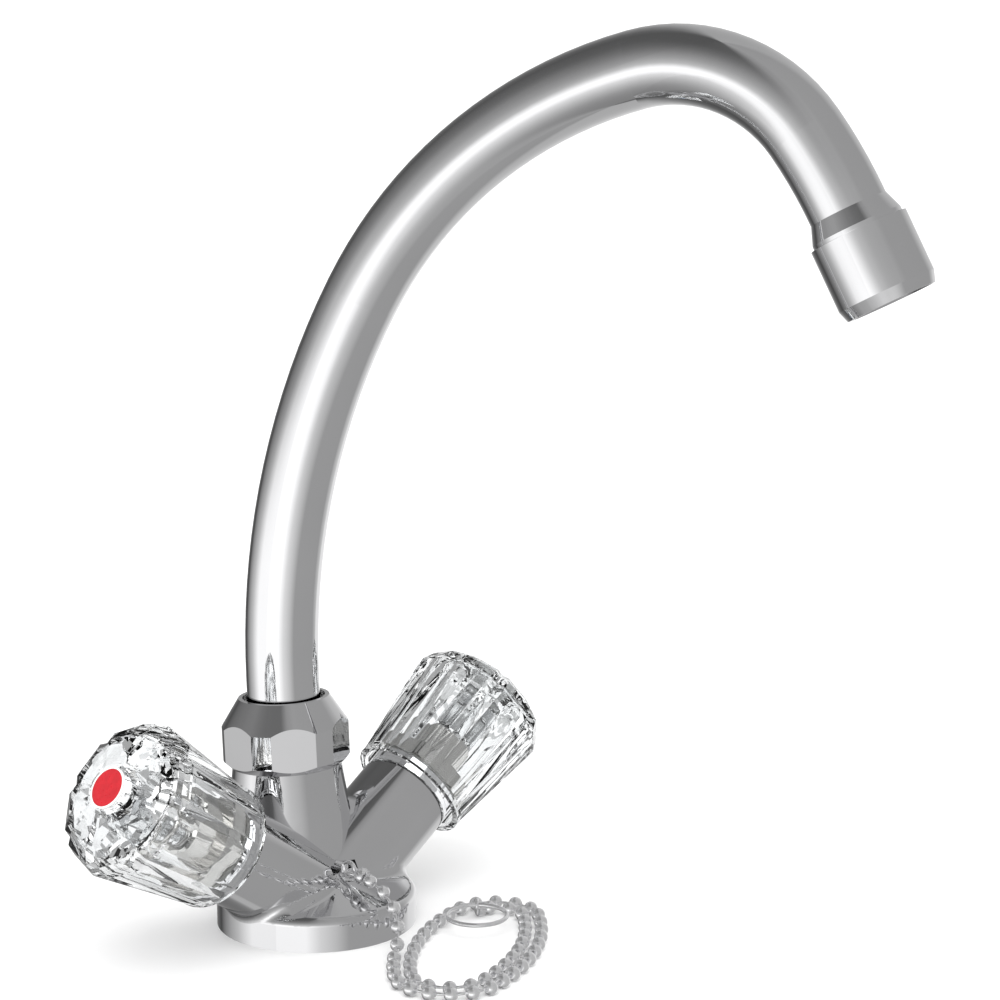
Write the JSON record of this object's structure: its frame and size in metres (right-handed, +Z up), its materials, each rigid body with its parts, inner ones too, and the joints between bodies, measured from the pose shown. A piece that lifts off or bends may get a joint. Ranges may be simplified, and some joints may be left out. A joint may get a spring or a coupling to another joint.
{
  "type": "two-handle basin mixer",
  "caption": "Deck-mounted basin mixer with a swivelling swan-neck spout, an aerator, clear fluted handles with hot and cold discs, and a ball chain with a plug ring.",
  "frame": {"origin": "centre of the base's underside, at the mouth of the fixing stud's hole", "axes": "+Z up, square to the deck; -Y to the front, where the chain hangs; the hot arm rises towards -X and the cold arm towards +X; the spout's swivel axis leans 3 degrees back, towards +Y"},
  "size_m": [0.1539, 0.1791, 0.2416],
  "materials": {
    "chrome": "polished chrome plate",
    "brass": "machined brass",
    "bright_steel": "zinc-plated",
    "bright_chain": "nickel-plated",
    "steel_mesh": "woven wire",
    "clear_acrylic": "clear, polished",
    "white_button": "gloss",
    "white_nylon": "satin",
    "hot_colour": "gloss",
    "cold_colour": "gloss",
    "black_rubber": "matt",
    "fibre_seal": "pressed fibre"
  },
  "bodies": {
    "root": {"body_casting": "chrome", "base_gasket": "black_rubber", "swivel_nut": "chrome", "slip_ring": "white_nylon", "chain_eye": "bright_chain", "chain_coupling": "bright_chain", "chain_lead": "bright_chain", "chain_coil": "bright_chain", "chain_hook": "bright_chain", "plug_ring": "bright_chain", "hot_headwork": "brass", "hot_headwork_seal": "fibre_seal", "cold_headwork": "brass", "cold_headwork_seal": "fibre_seal"},
    "spout": {"spout_collar": "brass", "tail_o_ring_lower": "black_rubber", "tail_o_ring_upper": "black_rubber", "spout_tube": "chrome", "spout_ferrule": "chrome", "aerator_shell": "chrome", "aerator_washer": "black_rubber", "aerator_insert": "white_nylon", "aerator_screen": "steel_mesh"},
    "hot_handle_group": {"hot_spindle": "brass", "hot_spindle_o_ring": "black_rubber", "hot_spindle_clip": "bright_steel", "hot_handle": "clear_acrylic", "hot_handle_screw": "bright_steel", "hot_index_button": "white_button", "hot_index_disc": "hot_colour"},
    "hot_valve_piston": {"hot_jumper": "brass", "hot_jumper_washer": "black_rubber", "hot_jumper_screw": "brass"},
    "cold_handle_group": {"cold_spindle": "brass", "cold_spindle_o_ring": "black_rubber", "cold_spindle_clip": "bright_steel", "cold_handle": "clear_acrylic", "cold_handle_screw": "bright_steel", "cold_index_button": "white_button", "cold_index_disc": "cold_colour"},
    "cold_valve_piston": {"cold_jumper": "brass", "cold_jumper_washer": "black_rubber", "cold_jumper_screw": "brass"}
  },
  "joints": [
    {"name": "spout_swivel", "type": "hinge", "parent": "root", "child": "spout", "pos_m": [0, 0.0092, 0], "axis": [0, 0.0523, 0.9986], "continuous": true},
    {"name": "hot_handle_turn", "type": "hinge", "parent": "root", "child": "hot_handle_group", "pos_m": [0, 0, 0.0052], "axis": [-0.829, 0, 0.5592], "range_deg": [0, 540]},
    {"name": "hot_piston_lift", "type": "slide", "parent": "root", "child": "hot_valve_piston", "axis": [-0.829, 0, 0.5592], "range_m": [0, 0.003]},
    {"name": "cold_handle_turn", "type": "hinge", "parent": "root", "child": "cold_handle_group", "pos_m": [0, 0, 0.0052], "axis": [0.829, 0, 0.5592], "range_deg": [0, 540]},
    {"name": "cold_piston_lift", "type": "slide", "parent": "root", "child": "cold_valve_piston", "axis": [0.829, 0, 0.5592], "range_m": [0, 0.003]}
  ],
  "couplings": [
    {"joint": "hot_piston_lift", "follows": "hot_handle_turn", "m_per_rad": 0.00031831},
    {"joint": "cold_piston_lift", "follows": "cold_handle_turn", "m_per_rad": 0.00031831}
  ]
}
